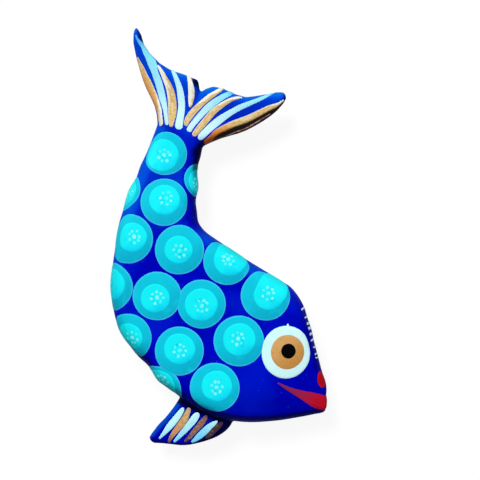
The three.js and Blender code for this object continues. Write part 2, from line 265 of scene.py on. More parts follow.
# A worn line under the lower gold stroke, near the edge of the tail
TAIL_RIM = [
    [(-1.9, 28.55, 0.2), (0.8, 29.7, 0.35), (2.9, 30.5, 0.4), (5.0, 31.3, 0.4), (7.1, 32.05, 0.4),
     (9.2, 33.05, 0.35), (11.3, 34.3, 0.35), (13.2, 35.5, 0.3), (15.3, 36.75, 0.2)],
]
FIN_PALE = [
    [(-10.86, -51.6, 0.5), (-11.3, -52.3, 1.3), (-12.8, -54.45, 1.85), (-14.55, -56.6, 1.95),
     (-16.05, -58.4, 1.4), (-17.3, -59.9, 0.8), (-18.05, -60.75, 0.5)],
    [(-6.45, -53.1, 0.8), (-6.8, -53.7, 1.75), (-7.7, -54.9, 2.1), (-8.95, -56.6, 1.95), (-10.6, -58.5, 1.6),
     (-12.2, -60.2, 1.15), (-13.3, -61.4, 0.7), (-13.6, -61.8, 0.4)],
    [(-0.7, -55.55, 0.5), (-1.6, -56.2, 1.2), (-2.75, -57.0, 1.65), (-3.75, -57.9, 1.95), (-4.85, -58.9, 2.0),
     (-6.1, -60.05, 1.8), (-7.3, -61.1, 1.2), (-8.4, -61.8, 0.4)],
]
FIN_GOLD = [
    [(-9.15, -51.6, 0.9), (-9.35, -52.45, 1.35), (-9.8, -53.5, 1.55), (-10.45, -54.95, 2.0),
     (-11.8, -56.8, 1.95), (-13.25, -58.6, 1.6), (-14.6, -60.45, 1.05), (-15.25, -61.9, 0.5)],
]
FIN_BROWN = [
    [(-4.0, -53.8, 0.6), (-4.3, -54.6, 1.3), (-5.25, -55.9, 1.7), (-6.0, -56.8, 1.65), (-7.55, -58.6, 1.4),
     (-9.1, -60.45, 1.1), (-10.45, -61.7, 0.6)],
    [(0.9, -55.9, 0.8), (0.0, -56.8, 1.3), (-1.25, -57.9, 1.6), (-2.35, -58.95, 1.6), (-3.25, -59.9, 1.4),
     (-4.1, -60.65, 0.6)],
]
# How worn each gold stroke is and how much painted shade it has: below 0 for a thin one with much of its pale
# ground, above 0 for painted shade along one edge, 1 for an edge painted dark as shade
TAIL_GOLD_WEAR_AND_SHADE = [0.4, 0, -0.5, 0, 0, 1]
# How much sooner each pale stroke takes its last colour
TAIL_PALE_ONWARD = [0, 0.5, 0.2, 0.2]
FIN_PALE_ONWARD = [-0.25, 0, 0.29]
# Dabs over the ridge of the forehead: the height up the head, the half length and the width, in mm
DABS = [
    (-21.2, 5.7, 0.6), (-23.9, 5.2, 0.6), (-26.0, 5.0, 0.8), (-27.4, 5.1, 1.0), (-28.8, 5.2, 0.8),
    (-30.6, 5.0, 0.7), (-33.2, 4.0, 0.6), (-34.9, 4.2, 0.6), (-36.3, 4.15, 0.5),
]
# A slip of the brush above the eye
EYE_SLIPS = [
    [(20.45, -26.4, 0.25), (20.5, -26.7, 0.4), (20.55, -27.3, 0.9)],
]


def soft_step(value, start, end, most=1):
    """A soft step from 0 where the value is at start to most where it is at end."""
    share = min(1, max(0, (value - start) / (end - start)))
    return most * (share * share * (3 - 2 * share))


def deselect():
    bpy.ops.object.select_all(action="DESELECT")


def pick(piece):
    """Make a piece the only one selected, and the one that operators act on."""
    deselect()
    piece.select_set(True)
    bpy.context.view_layer.objects.active = piece


def join(pieces, name):
    pick(pieces[0])
    for piece in pieces[1:]:
        piece.select_set(True)
    if len(pieces) > 1:
        bpy.ops.object.join()
    joined = bpy.context.view_layer.objects.active
    joined.name = name
    joined.data.name = name
    return joined


def copy_of(piece, name):
    twin = bpy.data.objects.new(name, piece.data.copy())
    bpy.context.scene.collection.objects.link(twin)
    return twin


def apply_modifier(piece, kind, **settings):
    pick(piece)
    modifier = piece.modifiers.new(kind.title(), kind)
    for setting, value in settings.items():
        setattr(modifier, setting, value)
    bpy.ops.object.modifier_apply(modifier=modifier.name)


def edit_all(piece, *steps):
    """Run edit-mode steps on the whole mesh of one piece."""
    pick(piece)
    bpy.ops.object.mode_set(mode="EDIT")
    bpy.ops.mesh.select_all(action="SELECT")
    for step in steps:
        step()
    bpy.ops.object.mode_set(mode="OBJECT")


def face_outward():
    bpy.ops.mesh.normals_make_consistent(inside=False)


# The carved wood

def keep_largest_shell(piece):
    """Delete what is closed in: the peg holes, which show nowhere."""
    highest = max(piece.data.vertices, key=lambda corner: corner.co.z).index
    pick(piece)
    bpy.ops.object.mode_set(mode="EDIT")
    bpy.ops.mesh.select_mode(type="VERT")
    bpy.ops.mesh.select_all(action="DESELECT")
    bpy.ops.object.mode_set(mode="OBJECT")
    piece.data.vertices[highest].select = True
    bpy.ops.object.mode_set(mode="EDIT")
    bpy.ops.mesh.select_linked()
    bpy.ops.mesh.select_all(action="INVERT")
    bpy.ops.mesh.delete(type="VERT")
    bpy.ops.object.mode_set(mode="OBJECT")


def draw_out(piece, x, y, out_x, out_y, around):
    """Move the edge at one place, and what lies around it the less the farther off it is."""
    for corner in piece.data.vertices:
        off = math.hypot(corner.co.x / MM - x, corner.co.y / MM - y)
        corner.co += Vector((out_x, out_y, 0)) * MM * soft_step(off, around, 0)


def carved_skin():
    """The whole fish as the knife and the sandpaper leave it, with its joints filled flush."""
    parts = [copy_of(node, "blank_" + name) for name, node in frame["nodes"].items()]
    skin = join(parts, "skin")
    edit_all(skin, lambda: bpy.ops.mesh.remove_doubles(threshold=WELD_REACH))
    apply_modifier(skin, "REMESH", mode="VOXEL", voxel_size=SKIN_GRAIN)
    keep_largest_shell(skin)
    apply_modifier(skin, "SMOOTH", factor=0.5, iterations=SKIN_SMOOTHING)
    edit_all(skin, lambda: bpy.ops.transform.resize(
        value=(1, 1, SANDED_SHARE), center_override=(0, 0, MIDDLE_HEIGHT)))
    for mark in KNIFE_MARKS:
        draw_out(skin, *mark)
    waves = bpy.data.textures.new("knife_waves", "CLOUDS")
    waves.noise_scale = KNIFE_WAVE
    apply_modifier(skin, "DISPLACE", texture=waves, strength=KNIFE_DEPTH, mid_level=0.5)
    return skin


def joint_plane(first_peg, second_peg):
    """The middle of two pegs, and the way they point, out of the body."""
    middles = []
    for name in (first_peg, second_peg):
        low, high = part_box(name)
        middles.append((low + high) / 2)
    across = (middles[1] - middles[0]).normalized()
    middle = (middles[0] + middles[1]) / 2
    outward = across.cross(Vector((0, 0, 1)))
    trunk_x, trunk_y = SPINE[2]
    if outward.dot(middle - Vector((trunk_x * MM, trunk_y * MM, middle.z))) < 0:
        outward.negate()
    return middle, outward


TAIL_JOINT, TAIL_WAY = joint_plane("tail_peg_1", "tail_peg_2")
FIN_JOINT, FIN_WAY = joint_plane("fin_peg_1", "fin_peg_2")
BELLY = FIN_JOINT + FIN_WAY * FIN_SEAT_DEPTH
ALONG_BELLY = Vector((-FIN_WAY.y, FIN_WAY.x, 0))


def painted_light_and_shade(place, normal):
    """The painted highlight and painted shade at a place of the wood: how much the paint is lightened and
    darkened, 0 to 1 each.
    """
    height = place.y / MM
    lit = normal.dot(LIT_WAY)
    light = soft_step(lit, *LIT_FACING) + soft_step(height, *LIT_STEM) + soft_step(height, *LIT_TAIL)
    dark = max(
        (DARK_BACK + soft_step(height, *DARK_STEM)) * soft_step(normal.dot(DARK_WAY), *DARK_FACING),
        soft_step(-normal.y, *DARK_UNDERSIDE),
        soft_step(height, *DARK_CHIN),
    )
    for x, y, radius in DARK_PATCHES:
        reach = math.hypot(place.x / MM - x, height - y)
        dark = max(dark, soft_step(reach, radius, PATCH_CORE * radius, PATCH_STRENGTH))
    out = (place - BELLY).dot(FIN_WAY) / MM
    across = (place - BELLY).dot(ALONG_BELLY) / MM
    if out > 0:
        front = soft_step(across + FIN_FRONT_SLANT * out, *FIN_FRONT_SHADE)
        dark = max(dark, front, soft_step(out, *FIN_FOOT_SHADE), FIN_DARK * (1 - soft_step(lit, *FIN_LIT)))
    elif abs(across) < BELLY_SHADE_REACH:
        dark = max(dark, soft_step(out, *BELLY_SHADE))
    return light, dark, 0


def cut_off(piece, point, outward, keep_outside):
    edit_all(piece, lambda: bpy.ops.mesh.bisect(
        plane_co=point, plane_no=outward, use_fill=True,
        clear_inner=keep_outside, clear_outer=not keep_outside, threshold=CUT_REACH))


def carved_pieces():
    """The body and its two fins, cut from one skin, and that skin's surface for the paint."""
    skin = carved_skin()
    # Painted highlight and painted shade at each place of the wood, for the blue and the paint laid over it.
    shades = skin.data.attributes.new("painted_light_and_shade", "FLOAT_VECTOR", "POINT")
    for corner, shade in zip(skin.data.vertices, shades.data):
        shade.vector = painted_light_and_shade(corner.co, corner.normal)
    body = copy_of(skin, "carved_body")
    cut_off(body, TAIL_JOINT, TAIL_WAY, keep_outside=False)
    cut_off(body, BELLY, FIN_WAY, keep_outside=False)
    tail = copy_of(skin, "carved_tail_fin")
    cut_off(tail, TAIL_JOINT, TAIL_WAY, keep_outside=True)
    fin = copy_of(skin, "carved_ventral_fin")
    cut_off(fin, BELLY, FIN_WAY, keep_outside=True)
    surface = BVHTree.FromObject(skin, bpy.context.evaluated_depsgraph_get())
    bpy.data.objects.remove(skin)
    for piece, node in ((body, "body"), (tail, "tail_fin"), (fin, "ventral_fin")):
        pick(piece)
        bpy.ops.object.shade_smooth_by_angle(angle=WOOD_CREASE)
        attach(piece, "root")
        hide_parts(node)
    return (body, tail, fin), surface


# Laying flat paint over the wood

def walk(surface, place, way, distance):
    """Go straight ahead over the surface, round its edges too."""
    point, normal = place
    steps = max(1, math.ceil(distance / PAINT_STRIDE))
    for _ in range(steps):
        way = (way - normal * way.dot(normal)).normalized()
        point, normal, _, _ = surface.find_nearest(point + way * (distance / steps))
    return point, normal


def spine_near(x, y):
    """The point of the middle line that is nearest to x, y."""
    here = Vector((x, y))
    nearest = None
    for start, end in zip(SPINE, SPINE[1:]):
        a = Vector(start) * MM
        b = Vector(end) * MM
        share = min(1, max(0, (here - a).dot(b - a) / (b - a).length_squared))
        spot = a + (b - a) * share
        if nearest is None or (spot - here).length < (nearest - here).length:
            nearest = spot
    return nearest


def drop(surface, x, y, side):
    """The place seen at x, y on the upper (side 1) or under face (side -1), or round the edge past it."""
    eye = VIEW_MIDDLE + Vector((0, 0, side * VIEW_HEIGHT))
    goal = Vector((x, y, MIDDLE_HEIGHT))
    point, normal, _, _ = surface.ray_cast(eye, goal - eye)
    if point is not None:
        return point, normal
    middle = spine_near(x, y).to_3d()
    middle.z = MIDDLE_HEIGHT
    seen, hidden = 0.0, 1.0
    for _ in range(EDGE_HALVINGS):
        share = (seen + hidden) / 2
        found = surface.ray_cast(eye, middle.lerp(goal, share) - eye)
        if found[0] is None:
            hidden = share
        else:
            seen = share
            point, normal = found[:2]
    return walk(surface, (point, normal), goal - middle, (goal - middle).length * (1 - seen))


def unroll(piece, surface, root, side):
    """Lay a flat piece over one face, from a root outwards.

    It is modelled in place in X and Y, and its z is its height in the paint.
    """
    start = drop(surface, root.x, root.y, side)
    nearness = 1 - abs(start[0].z - MIDDLE_HEIGHT) / VIEW_HEIGHT
    # The painted highlight and painted shade at each place, for the paint laid there.
    shades = piece.data.attributes.new("painted_light_and_shade", "FLOAT_VECTOR", "POINT")
    for corner, shade in zip(piece.data.vertices, shades.data):
        way = Vector((corner.co.x - root.x, corner.co.y - root.y, 0))
        point, normal = walk(surface, start, way, way.length * nearness)
        corner.co = point + normal * corner.co.z
        shade.vector = painted_light_and_shade(point, normal)
    return piece


def lay_spot(piece, surface, x, y, side):
    """Unroll a piece from a root between x, y and the middle line, safely inside the face."""
    inward = spine_near(x, y) - Vector((x, y))
    root = Vector((x, y)) + inward * min(1, ROOT_REACH / max(inward.length, 1e-6))
    return unroll(piece, surface, root, side)


# Spots of paint

def flat_spot():
    """A disc of paint, 1 wide and 1 thick, with a rounded rim and rings inside it."""
    deselect()
    bpy.ops.mesh.primitive_cylinder_add(vertices=SPOT_SIDES, radius=1, depth=2)
    spot = bpy.context.active_object
    bpy.ops.object.mode_set(mode="EDIT")
    bpy.ops.mesh.select_mode(type="FACE")
    bpy.ops.mesh.select_all(action="DESELECT")
    bpy.ops.object.mode_set(mode="OBJECT")
    for face in spot.data.polygons:
        face.select = len(face.vertices) == SPOT_SIDES
    bpy.ops.object.mode_set(mode="EDIT")
    for width in SPOT_INSETS:
        bpy.ops.mesh.inset(thickness=width)
    bpy.ops.object.mode_set(mode="OBJECT")
    local = spot.data.attributes.new("spot", "FLOAT_VECTOR", "POINT")
    for corner, value in zip(spot.data.vertices, local.data):
        reach = math.hypot(corner.co.x, corner.co.y)
        value.vector = (corner.co.x, corner.co.y, 0)
        lowered = [height for past, height in SPOT_EDGE if reach > past]
        if corner.co.z > 0 and lowered:
            corner.co.z = lowered[0]
    return spot


def wobble(amount):
    """How a hand-drawn round differs from a circle, as a function of the angle."""
    waves = [(k, amount * chance.uniform(0.3, 1) / k, chance.uniform(0, math.tau)) for k in (2, 3, 4, 5)]
    return lambda angle: 1 + sum(size * math.sin(k * angle + phase) for k, size, phase in waves)


def painted_spot(template, x, y, half_width, half_height, rise, unevenness, number, drawn_out=0, flare=0):
    """A copy of the flat disc at x, y with its rim drawn unevenly.

    It can be drawn out over the edge of the back, and flare there.
    """
    spot = copy_of(template, "spot")
    outline = wobble(unevenness)
    top = rise + PAINT_THICKNESS
    for corner, value in zip(spot.data.vertices, spot.data.attributes["spot"].data):
        u, v, _ = corner.co
        value.vector = (u, v, number)
        outward = max(0, BACK_WAY.dot((u, v)))
        reach = outline(math.atan2(v, u)) * (1 + flare * outward)
        out = drawn_out * outward
        corner.co = (
            x + u * half_width * reach + BACK_WAY.x * out,
            y + v * half_height * reach + BACK_WAY.y * out,
            corner.co.z * top if corner.co.z > 0 else -PAINT_THICKNESS,
        )
    return spot


def flat_dot():
    """A bead of paint, 1 in radius, still round."""
    deselect()
    bpy.ops.mesh.primitive_uv_sphere_add(segments=DOT_SIDES, ring_count=DOT_LAYERS, radius=1)
    dot = bpy.context.active_object
    dot.data.attributes.new("spot", "FLOAT_VECTOR", "POINT")
    return dot


def painted_dot(template, x, y, radius, rise):
    """A copy of the bead at x, y, squashed and a little long. Its attribute holds how thin its paint is."""
    dot = copy_of(template, "dot")
    turn = chance.uniform(0, math.tau)
    stretch = chance.uniform(1, DOT_STRETCH)
    thin = chance.uniform(0, 1)
    for corner, value in zip(dot.data.vertices, dot.data.attributes["spot"].data):
        u, v, w = corner.co
        value.vector = (u, v, thin)
        corner.co = (
            x + radius * (u * stretch * math.cos(turn) - v * math.sin(turn)),
            y + radius * (u * stretch * math.sin(turn) + v * math.cos(turn)),
            rise + radius * DOT_HEIGHT_SHARE * w,
        )
    return dot


def paint_scales(surface):
    rings, hearts, dots = [], [], []
    disc, bead = flat_spot(), flat_dot()
    faces = [(scale, 1) for scale in SCALES + EDGE_SCALES] + [(scale, -1) for scale in SCALES]
    for number, (scale, side) in enumerate(faces):
        rx, ry, ring, hx, hy, heart, dx, dy, drawn_out = (value * MM for value in scale)
        rise = SCALE_RISE * (number % 3)
        spot = painted_spot(disc, rx, ry, ring, ring, rise, RING_UNEVENNESS, number, drawn_out)
        rings.append(lay_spot(spot, surface, rx, ry, side))
        heart_drawn_out = drawn_out + ring - heart if drawn_out else 0
        flare = HEART_FLARE if drawn_out else 0
        spot = painted_spot(disc, hx, hy, heart, heart, LAYER_RISE + rise, HEART_UNEVENNESS, number,
                            heart_drawn_out, flare)
        hearts.append(lay_spot(spot, surface, rx, ry, side))
        base = PAINT_THICKNESS + LAYER_RISE + rise
        start = chance.uniform(0, math.tau)
        places = [(dx, dy, MIDDLE_DOT_RADIUS)]
        for k in range(DOTS_AROUND):
            angle = start + (k + chance.uniform(-DOT_STRAY, DOT_STRAY)) * math.tau / DOTS_AROUND
            reach = DOT_RING * chance.uniform(*DOT_RING_RANGE)
            radius = DOT_RADIUS * chance.uniform(*DOT_RADIUS_RANGE)
            places.append((dx + reach * math.cos(angle), dy + reach * math.sin(angle), radius))
        for x, y, radius in places:
            dots.append(lay_spot(painted_dot(bead, x, y, radius, base), surface, rx, ry, side))
    bpy.data.objects.remove(bead)
    return disc, join(rings, "scale_rings"), join(hearts, "scale_hearts"), join(dots, "scale_dots")


def paint_eyes(surface, disc):
    root_x, root_y = EYE_ROOT
    made = []
    for layer, (name, x, y, half_width, half_height, unevenness) in enumerate(EYE, 1):
        both = []
        for side in (1, -1):
            spot = painted_spot(disc, x * MM, y * MM, half_width * MM, half_height * MM,
                                layer * LAYER_RISE, unevenness, layer)
            both.append(lay_spot(spot, surface, root_x * MM, root_y * MM, side))
        made.append(join(both, name))
    return made


def paint_nostrils(surface, disc):
    x, y, half_width, half_height = (value * MM for value in NOSTRIL)
    both = []
    for side in (1, -1):
        spot = painted_spot(disc, x, y, half_width, half_height, 0, NOSTRIL_UNEVENNESS, side)
        both.append(lay_spot(spot, surface, x, y, side))
    return join(both, "nostrils")


# Strokes of paint

def along(line, share):
    """The place, the way and the width at a share of a stroke, on a smooth curve through its points."""
    points = [Vector(point) for point in line]
    points = [points[0] * 2 - points[1]] + points + [points[-1] * 2 - points[-2]]
    spans = len(points) - 3
    first = min(int(share * spans), spans - 1)
    t = share * spans - first
    a, b, c, d = points[first:first + 4]
    place = 0.5 * (2 * b + (c - a) * t + (2 * a - 5 * b + 4 * c - d) * t * t
                   + (3 * b - a - 3 * c + d) * t ** 3)
    way = 0.5 * ((c - a) + 2 * (2 * a - 5 * b + 4 * c - d) * t + 3 * (3 * b - a - 3 * c + d) * t * t)
    return place, Vector((way.x, way.y)).normalized()


def flat_stroke(rows):
    """A strip of paint, x from -1 to 1 and y from 0 to 1, with its edges sunk and its ends finely cut."""
    deselect()
    bpy.ops.mesh.primitive_grid_add(x_subdivisions=STROKE_COLUMNS, y_subdivisions=rows, size=2)
    strip = bpy.context.active_object
    strip.data.attributes.new("spot", "FLOAT_VECTOR", "POINT")
    strip.data.attributes.new("stroke", "FLOAT_VECTOR", "POINT")
    for corner in strip.data.vertices:
        across = corner.co.x
        share = (1 + math.sin(corner.co.y * math.pi / 2)) / 2
        edge = max(abs(across), abs(2 * share - 1) ** END_POWER)
        corner.co = (across, share, 1 - EDGE_SINK * edge ** EDGE_POWER)
    return strip


def lay_strip(surface, rows, length, line_at, number, rise, mark):
    """Lay a flat strip along a line, of which line_at gives the place, the way across and half the width.

    Its attributes hold the place in it, across and along, its number, the distance in mm from its start,
    and its mark: how worn it is and how much painted shade it has, or how soon it takes its last colour.
    """
    strip = flat_stroke(rows)
    uneven = wobble(STROKE_UNEVENNESS)
    places = {}
    marks = zip(strip.data.vertices, strip.data.attributes["spot"].data, strip.data.attributes["stroke"].data)
    for corner, spot, stroke in marks:
        across, share, bulge = corner.co
        spot.vector = (across, share, number)
        stroke.vector = (share * length / MM, mark, 0)
        if share not in places:
            places[share] = line_at(share)
        start, way, half_width = places[share]
        reach = abs(across) * half_width * uneven(share * STROKE_WAVES + across)
        point, normal = walk(surface, start, way * across, reach)
        corner.co = point + normal * (rise + STROKE_THICKNESS * bulge)
    apply_modifier(strip, "SOLIDIFY", thickness=PAINT_THICKNESS, offset=-1)
    return strip


def round_ends(share, length, half_width):
    """Half the width at a share of a stroke, narrowed to a round at both ends."""
    from_end = min(share, 1 - share) * length
    return half_width * math.sqrt(max(NARROWEST_END, 1 - max(0, 1 - from_end / half_width) ** 2))


def length_of(line):
    return sum((Vector(b[:2]) - Vector(a[:2])).length for a, b in zip(line, line[1:])) * MM


def painted_stroke(surface, line, side, number, rise, mark):
    """A brush stroke along a line of x, y and width in mm, laid over one face."""
    length = length_of(line)
    rows = max(FEWEST_ROWS, round(length * ROWS_PER_MM / MM))

    def line_at(share):
        place, way = along(line, share)
        start = drop(surface, place.x * MM, place.y * MM, side)
        half_width = round_ends(share, length, max(place.z, THINNEST_STROKE) * MM / 2)
        return start, Vector((-way.y, way.x, 0)), half_width

    return lay_strip(surface, rows, length, line_at, number, rise, mark)


def paint_strokes(surface, lines, name, rise=0.0, marks=None):
    """One piece of all these strokes, on both faces."""
    strokes = []
    for side in (1, -1):
        for number, line in enumerate(lines):
            mark = marks[number] if marks else 0
            strokes.append(painted_stroke(surface, line, side, number, rise, mark))
    return join(strokes, name)


def paint_mouth(surface):
    """A stroke on each cheek, both cut off where they meet, in the middle of the lips."""
    length = length_of(MOUTH)
    halves = []
    for side in (1, -1):
        half = flat_stroke(round(length * MOUTH_ROWS_PER_MM / MM))
        for corner, spot in zip(half.data.vertices, half.data.attributes["spot"].data):
            across, share, bulge = corner.co
            spot.vector = (across, share, side)
            place, way = along(MOUTH, share)
            reach = across * round_ends(share, length, place.z * MM / 2)
            corner.co = (place.x * MM - way.y * reach, place.y * MM + way.x * reach, STROKE_THICKNESS * bulge)
        apply_modifier(half, "SOLIDIFY", thickness=PAINT_THICKNESS, offset=-1)
        unroll(half, surface, Vector(MOUTH_ROOT) * MM, side)
        cut_off(half, Vector((0, 0, MIDDLE_HEIGHT)), Vector((0, 0, side)), keep_outside=True)
        halves.append(half)
    return join(halves, "mouth")


def paint_dabs(surface):
    """Short strokes over the ridge of the forehead, from one face round to the other."""
    dabs = []
    for number, dab in enumerate(DABS):
        up, half_length, width = (value * MM for value in dab)
        ahead = Vector((AHEAD_OF_SNOUT, up, MIDDLE_HEIGHT))
        middle, normal, _, _ = surface.ray_cast(ahead, Vector((-1, 0, 0)))
        sideways = Vector((-normal.y, normal.x, 0))
        slant = sideways * chance.uniform(-DAB_SLANT, DAB_SLANT)

        def line_at(share):
            turn = 2 * share - 1
            way = Vector((0, 0, turn)) + slant * turn
            start = walk(surface, (middle, normal), way, abs(turn) * half_length)
            return start, sideways, round_ends(share, 2 * half_length, width / 2)

        dabs.append(lay_strip(surface, DAB_ROWS, 2 * half_length, line_at, number, 0.0, 0))
    return join(dabs, "forehead_dabs")


# Materials

GRAIN_STEP = 7.3
RELIEF_DEPTH = 0.1 * MM


def linear(red, green, blue):
    """A colour from its red, green and blue on a screen, 0 to 255, as the shader wants it."""
    channels = []
    for value in (red, green, blue):
        share = value / 255
        channels.append(share / 12.92 if share <= 0.04045 else ((share + 0.055) / 1.055) ** 2.4)
    return (*channels, 1)


class Paint:
    """A paint with its own node tree.

    It starts as one colour, and coat and over lay others on it. The other helpers add one or two nodes each
    and give back what they put out.
    """

    def __init__(self, name, ground, roughness=0.6, gloss=0.05, tint=(255, 255, 255)):
        self.colour = ground
        self.material = bpy.data.materials.new(name)
        self.material.use_nodes = True
        self.tree = self.material.node_tree
        self.shader = self.tree.nodes["Principled BSDF"]
        self.shader.inputs["Roughness"].default_value = roughness
        self.shader.inputs["Specular IOR Level"].default_value = gloss
        self.shader.inputs["Specular Tint"].default_value = linear(*tint)
        self.place = self.add("TexCoord", {}).outputs["Object"]
        spot = self.add("Attribute", {}, attribute_name="spot").outputs["Vector"]
        self.across, self.along, self.number = self.add("SeparateXYZ", {0: spot}).outputs

    def attribute(self, name):
        """The first two numbers of an attribute of the piece."""
        vector = self.add("Attribute", {}, attribute_name=name).outputs["Vector"]
        first, second, _ = self.add("SeparateXYZ", {0: vector}).outputs
        return first, second

    def add(self, kind, inputs, **settings):
        node = self.tree.nodes.new("ShaderNode" + kind)
        for setting, value in settings.items():
            setattr(node, setting, value)
        for socket, value in inputs.items():
            if isinstance(value, bpy.types.NodeSocket):
                self.tree.links.new(value, node.inputs[socket])
            else:
                node.inputs[socket].default_value = value
        return node

    def grain(self, place, scale, detail=2.0):
        """Noise from 0 to 1."""
        return self.add("TexNoise", {"Vector": place, "Scale": scale, "Detail": detail}).outputs["Fac"]

    def sum(self, *terms):
        """The sum of (value, factor) pairs."""
        total = 0.0
        for value, factor in terms:
            total = self.add("Math", {0: value, 1: factor, 2: total}, operation="MULTIPLY_ADD").outputs[0]
        return total

    def times(self, a, b):
        return self.add("Math", {0: a, 1: b}, operation="MULTIPLY").outputs[0]

    def step(self, value, start, end, most=1.0):
        """A soft step from 0 at start to most at end."""
        inputs = {"Value": value, "From Min": start, "From Max": end, "To Max": most}
        return self.add("MapRange", inputs, interpolation_type="SMOOTHSTEP").outputs["Result"]

    def blend(self, share, first, second):
        colours = [linear(*colour) if isinstance(colour, tuple) else colour for colour in (first, second)]
        return self.add("Mix", {0: share, 6: colours[0], 7: colours[1]}, data_type="RGBA").outputs[2]

    def over(self, colour, share):
        """Lay a colour over what is there, as much of it as the share says."""
        self.colour = self.blend(share, self.colour, colour)

    def coat(self, colour, value, start, end, most=1.0):
        """Lay a colour over what is there: none where the value is at start, the most where it is at end."""
        self.over(colour, self.step(value, start, end, most))

    def reach(self):
        """The distance from the middle of a spot, 1 at its rim."""
        return self.add("VectorMath", {0: self.add("CombineXYZ", {0: self.across, 1: self.along}).outputs[0]},
                        operation="LENGTH").outputs["Value"]

    def own_grain(self, scale, stretch=1.0, detail=2.0):
        """Noise in a spot's or a stroke's own directions, different on each one."""
        place = self.add("CombineXYZ", {0: self.across, 1: self.times(self.along, stretch),
                                        2: self.times(self.number, GRAIN_STEP)}).outputs[0]
        return self.grain(place, scale, detail)

    def finish(self, bump, scale=900.0):
        """Join the colour and a fine relief of brush marks to the shader, and give back the material."""
        relief = self.grain(self.place, scale, 3.0)
        normal = self.add("Bump", {"Strength": bump, "Distance": RELIEF_DEPTH, "Height": relief}).outputs[0]
        self.tree.links.new(self.colour, self.shader.inputs["Base Color"])
        self.tree.links.new(normal, self.shader.inputs["Normal"])
        return self.material


def blue_paint():
    paint = Paint("cobalt_blue_paint", (0, 2, 180), gloss=0.025, tint=(30, 110, 255))
    clouds = paint.grain(paint.place, 130.0, 4.0)
    paint.coat((0, 5, 194), clouds, 0.38, 0.66)
    paint.coat((1, 26, 204), paint.grain(paint.place, 60.0), 0.50, 0.72, 0.6)
    # Painted light and shade: a lighter blue as painted highlight, a near black as painted shade.
    light, dark = paint.attribute("painted_light_and_shade")
    lighter = paint.sum((light, 1.0), (paint.times(light, clouds), 0.6), (light, -0.3))
    paint.coat((3, 84, 222), lighter, 0.0, 1.0, 0.95)
    paint.coat((9, 124, 216), lighter, 0.9, 1.5, 0.7)
    paint.coat((0, 0, 26), dark, 0.0, 1.0, 0.96)
    paint.coat((60, 110, 236), paint.grain(paint.place, 1500.0, 1.0), 0.75, 0.81, 0.45)
    return paint.finish(0.2, 700.0)


def ring_paint():
    paint = Paint("turquoise_paint", (8, 198, 224))
    streaks = paint.own_grain(2.2, detail=4.0)
    # Painted shade: each ring darker towards its lower right, away from the light.
    low = paint.sum((paint.across, 0.3), (paint.along, -0.7), (streaks, 1.0))
    paint.coat((4, 171, 202), low, 0.1, 1.3)
    paint.coat((12, 208, 234), streaks, 0.5, 0.75, 0.5)
    paint.coat((70, 192, 240), paint.sum((paint.reach(), 1.0), (streaks, 0.06)), 0.97, 1.0, 0.65)
    # Painted highlight and painted shade, as on the blue under it.
    light, dark = paint.attribute("painted_light_and_shade")
    paint.coat((30, 224, 248), light, 0.3, 1.1, 0.6)
    paint.coat((0, 44, 62), dark, 0.25, 1.0, 0.85)
    return paint.finish(0.3)


def heart_paint():
    paint = Paint("cyan_paint", (15, 239, 248))
    cloud = paint.own_grain(1.5)
    # Painted shade: each heart darker towards its lower right, and its darker rim wider there.
    low = paint.step(paint.sum((paint.across, 0.3), (paint.along, -0.8), (cloud, 0.8)), 0.5, 1.35)
    paint.over((6, 212, 242), low)
    paint.coat((10, 206, 224), paint.sum((paint.reach(), 1.0), (low, 0.12)), 0.92, 1.08, 0.6)
    # Darker in random patches in the middle of each heart, among the dots.
    near_dots = paint.step(paint.reach(), 0.62, 0.3)
    darker_patches = paint.step(paint.own_grain(3.0), 0.52, 0.76, 0.7)
    paint.over((4, 172, 214), paint.times(near_dots, darker_patches))
    # Painted highlight and painted shade, as on the blue under it.
    light, dark = paint.attribute("painted_light_and_shade")
    paint.coat((44, 250, 253), light, 0.3, 1.0, 0.6)
    paint.coat((0, 104, 132), dark, 0.3, 1.0, 0.7)
    return paint.finish(0.3)


def dot_paint():
    """White, and bluer where its paint is thin."""
    paint = Paint("white_dot_paint", (156, 250, 252))
    paint.over((80, 243, 250), paint.number)
    paint.coat((80, 236, 246), paint.grain(paint.place, 2200.0), 0.45, 0.7, 0.5)
    return paint.finish(0.05)


def eye_white_paint():
    paint = Paint("eye_white_paint", (196, 250, 253))
    paint.over((226, 254, 253), paint.own_grain(1.2, detail=4.0))
    paint.coat((150, 224, 246), paint.reach(), 0.96, 1.0, 0.5)
    return paint.finish(0.2)


def amber_paint():
    paint = Paint("amber_paint", (212, 164, 100))
    grains = paint.grain(paint.place, 1300.0, 3.0)
    # Painted shade: the iris darker towards its lower right, away from the light.
    low = paint.sum((paint.across, 0.5), (paint.along, -0.7), (grains, 0.7))
    paint.coat((198, 140, 70), low, -0.3, 1.1)
    paint.coat((176, 118, 56), grains, 0.58, 0.7, 0.5)
    paint.coat((206, 152, 120), paint.reach(), 0.9, 0.99, 0.7)
    return paint.finish(0.2)


def black_paint():
    paint = Paint("black_paint", (1, 1, 2), roughness=0.5, gloss=0.015)
    paint.over((6, 4, 7), paint.grain(paint.place, 1200.0))
    return paint.finish(0.1)


def red_paint(name, first, last):
    """A red, from the first colour where it starts to the last where it ends."""
    paint = Paint(name, first, gloss=0.03)
    streaks = paint.own_grain(3.0, stretch=0.6, detail=4.0)
    paint.coat(last, paint.along, 0.05, 0.75)
    paint.coat((202, 30, 54), streaks, 0.5, 0.75, 0.4)
    return paint.finish(0.3)


